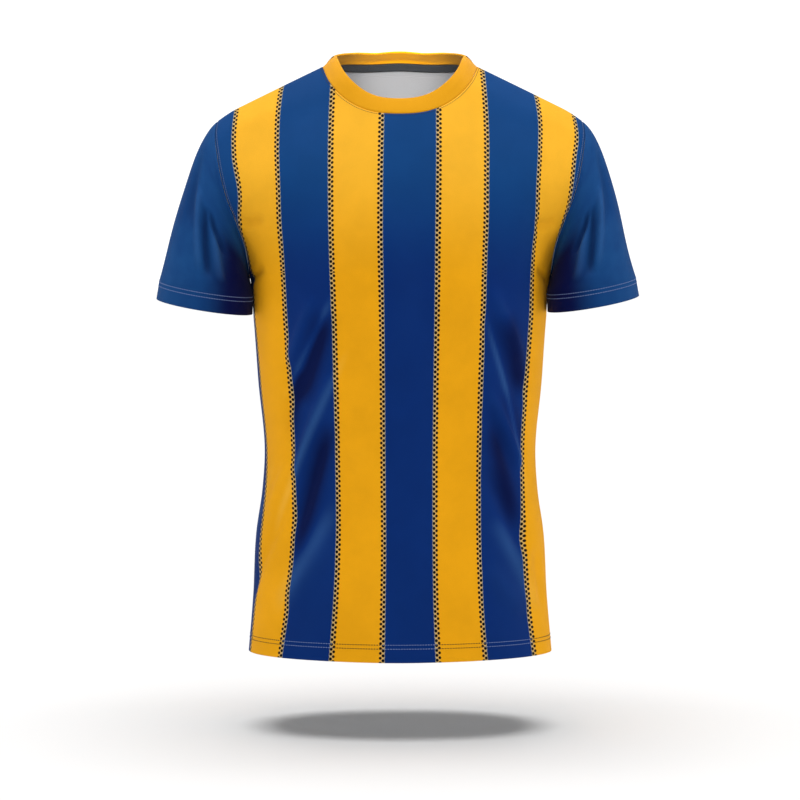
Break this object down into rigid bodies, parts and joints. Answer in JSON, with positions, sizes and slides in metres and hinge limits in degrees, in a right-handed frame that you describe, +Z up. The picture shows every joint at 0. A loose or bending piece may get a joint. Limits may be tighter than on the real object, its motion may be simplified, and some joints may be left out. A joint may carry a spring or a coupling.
{
  "type": "football shirt",
  "caption": "Short-sleeved crew-neck football shirt in its worn, hollow form, with printed vertical stripes, plain sleeves and a folded rib neckband.",
  "frame": {"origin": "between the two neck points of the shoulder seams, where the wearer's shoulders carry the shirt", "axes": "+Z up along the body, -Y towards the front of the shirt, +X towards the wearer's left"},
  "size_m": [0.5784, 0.2519, 0.7307],
  "materials": {
    "striped_cloth": "knitted polyester with printed blue and yellow stripes",
    "sleeve_cloth": "knitted polyester, plain blue",
    "neckband_rib": "ribbed knit, amber yellow",
    "neck_tape": "woven tape, grey"
  },
  "bodies": {
    "root": {"front": "striped_cloth", "back": "striped_cloth", "sleeve_left": "sleeve_cloth", "sleeve_right": "sleeve_cloth", "neckband": "neckband_rib", "neck_tape": "neck_tape"}
  },
  "joints": []
}
